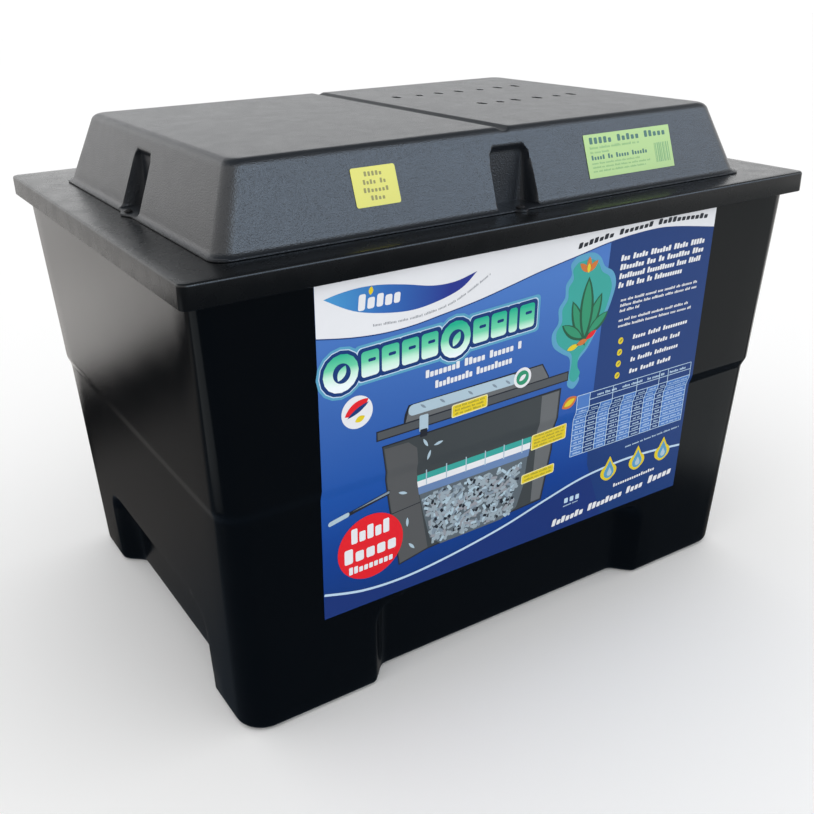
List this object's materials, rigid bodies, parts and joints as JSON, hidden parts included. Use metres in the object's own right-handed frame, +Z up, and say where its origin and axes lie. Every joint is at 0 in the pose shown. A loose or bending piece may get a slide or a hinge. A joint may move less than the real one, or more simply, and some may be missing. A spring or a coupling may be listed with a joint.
{
  "type": "box pond filter with uv clarifier",
  "caption": "Drafted box tank of foam and media for garden pond water, with a lift-off lid that carries a UV clarifier under a grained cover.",
  "frame": {"origin": "on the floor under the middle of the tank", "axes": "+X to the right along the labelled face, the labelled face towards -Y, +Z up"},
  "size_m": [0.796, 0.6727, 0.6086],
  "materials": {
    "black_shell": "black vacuum-formed plastic, semi-gloss",
    "black_cover": "black vacuum-formed plastic with a fine leather grain",
    "black_fitting": "black moulded plastic",
    "white_pvc": "white PVC pipe",
    "grey_plastic": "mid-grey moulded plastic",
    "label_blue": "printed vinyl, blue and white",
    "label_yellow": "printed vinyl, yellow",
    "label_green": "printed vinyl, pale green",
    "coarse_green_foam": "open-cell filter foam, coarse, blue-green",
    "fine_white_foam": "open-cell filter foam, fine, white",
    "blue_pad": "felted filter pad, blue",
    "media_plastic": "loose ribbed plastic tube media, grey",
    "seal_rubber": "black rubber",
    "quartz": "clear quartz",
    "lamp_glass": "lamp glass",
    "zinc": "zinc-plated steel"
  },
  "bodies": {
    "tank": {"tank": "black_shell", "front_label": "label_blue", "riser_partition": "black_fitting", "media_grid": "black_fitting", "media_bed": "media_plastic", "media_pad": "blue_pad", "foam_tray": "black_fitting", "fine_foam_1": "fine_white_foam", "fine_foam_2": "fine_white_foam", "fine_foam_3": "fine_white_foam", "fine_foam_4": "fine_white_foam", "fine_foam_5": "fine_white_foam", "fine_foam_6": "fine_white_foam", "coarse_foam_1": "coarse_green_foam", "coarse_foam_2": "coarse_green_foam", "coarse_foam_3": "coarse_green_foam", "coarse_foam_4": "coarse_green_foam", "coarse_foam_5": "coarse_green_foam", "coarse_foam_6": "coarse_green_foam", "outlet_gasket": "seal_rubber", "outlet_connector": "black_fitting", "outlet_back_nut": "black_fitting", "outlet_seal": "seal_rubber", "outlet_hose_tail": "black_fitting"},
    "outlet_union_nut": {"outlet_union_nut": "black_fitting"},
    "lid": {"lid_plate": "black_shell", "uv_housing": "white_pvc", "quartz_sleeve": "quartz", "sleeve_seal": "seal_rubber", "uv_lamp": "lamp_glass", "lamp_base": "white_pvc", "head_box": "grey_plastic", "head_lid": "grey_plastic", "head_screw_1": "zinc", "head_screw_2": "zinc", "head_screw_3": "zinc", "head_screw_4": "zinc", "ballast": "white_pvc", "mains_gland": "black_fitting", "mains_gland_nut": "black_fitting", "saddle_left": "grey_plastic", "saddle_right": "grey_plastic", "saddle_screw_1": "zinc", "saddle_screw_2": "zinc", "saddle_screw_3": "zinc", "saddle_screw_4": "zinc", "spout_gasket": "seal_rubber", "spout_nut": "black_fitting", "inlet_seal": "seal_rubber", "inlet_hose_tail": "black_fitting"},
    "lock_collar": {"lock_collar": "black_fitting"},
    "inlet_union_nut": {"inlet_union_nut": "black_fitting"},
    "cover": {"cover": "black_cover", "caution_label": "label_yellow", "rating_label": "label_green"},
    "cover_screw_front": {"cover_screw_front": "grey_plastic"},
    "cover_screw_back": {"cover_screw_back": "grey_plastic"},
    "cover_screw_left": {"cover_screw_left": "grey_plastic"},
    "cover_screw_right": {"cover_screw_right": "grey_plastic"}
  },
  "joints": [
    {"name": "lid_lift", "type": "slide", "parent": "tank", "child": "lid", "axis": [0, 0, 1], "range_m": [0, 0.3]},
    {"name": "cover_lift", "type": "slide", "parent": "lid", "child": "cover", "axis": [0, 0, 1], "range_m": [0, 0.2]},
    {"name": "collar_turn", "type": "hinge", "parent": "lid", "child": "lock_collar", "pos_m": [0.16, -0.02, 0.563], "axis": [1, 0, 0], "continuous": true},
    {"name": "inlet_nut_turn", "type": "hinge", "parent": "lid", "child": "inlet_union_nut", "pos_m": [0.107, 0.14, 0.563], "axis": [0, 1, 0], "continuous": true},
    {"name": "outlet_nut_turn", "type": "hinge", "parent": "tank", "child": "outlet_union_nut", "pos_m": [-0.3, 0.28591, 0.392], "axis": [0, 0.9991, -0.0422], "continuous": true},
    {"name": "screw_turn_front", "type": "hinge", "parent": "cover", "child": "cover_screw_front", "pos_m": [-0.008, -0.2582, 0.53], "axis": [0, 0, 1], "continuous": true},
    {"name": "screw_turn_back", "type": "hinge", "parent": "cover", "child": "cover_screw_back", "pos_m": [-0.008, 0.2182, 0.53], "axis": [0, 0, 1], "continuous": true},
    {"name": "screw_turn_left", "type": "hinge", "parent": "cover", "child": "cover_screw_left", "pos_m": [-0.3479, -0.02, 0.53], "axis": [0, 0, 1], "continuous": true},
    {"name": "screw_turn_right", "type": "hinge", "parent": "cover", "child": "cover_screw_right", "pos_m": [0.3319, -0.02, 0.53], "axis": [0, 0, 1], "continuous": true}
  ]
}
